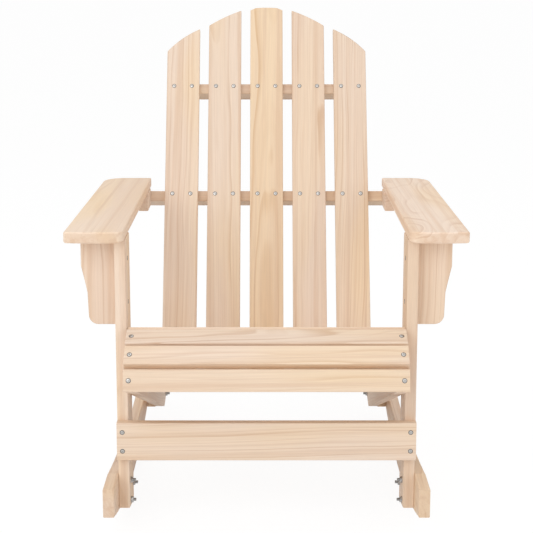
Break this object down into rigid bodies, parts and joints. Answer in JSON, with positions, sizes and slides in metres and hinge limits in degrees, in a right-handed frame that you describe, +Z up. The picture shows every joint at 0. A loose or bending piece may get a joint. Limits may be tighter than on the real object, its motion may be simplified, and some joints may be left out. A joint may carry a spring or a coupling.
{
  "type": "rocking adirondack chair",
  "caption": "Wooden lounge chair with a slatted reclined fan-top back, sloping slatted seat, broad flat arms and curved rockers bolted to its legs.",
  "frame": {"origin": "on the floor, under the middle of the outline seen from above, with the front legs upright", "axes": "+X to the right side seen from in front, +Y from the front of the chair to its back, +Z up"},
  "size_m": [0.6998, 0.9032, 0.9067],
  "materials": {
    "softwood": "planed and unfinished, lengthwise grain",
    "zinc_steel": "zinc plated"
  },
  "bodies": {
    "root": {"arm_block_left": "softwood", "arm_block_right": "softwood", "arm_block_screws": "zinc_steel", "arm_bracket_left": "softwood", "arm_bracket_right": "softwood", "arm_dowels": "softwood", "arm_left": "softwood", "arm_right": "softwood", "back_rail_arm": "softwood", "back_rail_lower": "softwood", "back_rail_upper": "softwood", "back_slat_centre": "softwood", "back_slat_inner_left": "softwood", "back_slat_inner_right": "softwood", "back_slat_outer_left": "softwood", "back_slat_outer_right": "softwood", "back_slat_screws": "zinc_steel", "bracket_screws": "zinc_steel", "front_leg_left": "softwood", "front_leg_right": "softwood", "front_stretcher": "softwood", "lower_rail_screws": "zinc_steel", "rear_leg_left": "softwood", "rear_leg_right": "softwood", "rocker_bolts": "zinc_steel", "rocker_left": "softwood", "rocker_nuts": "zinc_steel", "rocker_right": "softwood", "rocker_washers": "zinc_steel", "seat_rail_left": "softwood", "seat_rail_right": "softwood", "seat_rail_screws": "zinc_steel", "seat_slat_1": "softwood", "seat_slat_2": "softwood", "seat_slat_3": "softwood", "seat_slat_4": "softwood", "seat_slat_5": "softwood", "seat_slat_6": "softwood", "seat_slat_7": "softwood", "seat_slat_8": "softwood", "seat_slat_nose_1": "softwood", "seat_slat_nose_2": "softwood", "seat_slat_nose_3": "softwood", "seat_slat_screws": "zinc_steel", "stretcher_screws": "zinc_steel"}
  },
  "joints": []
}
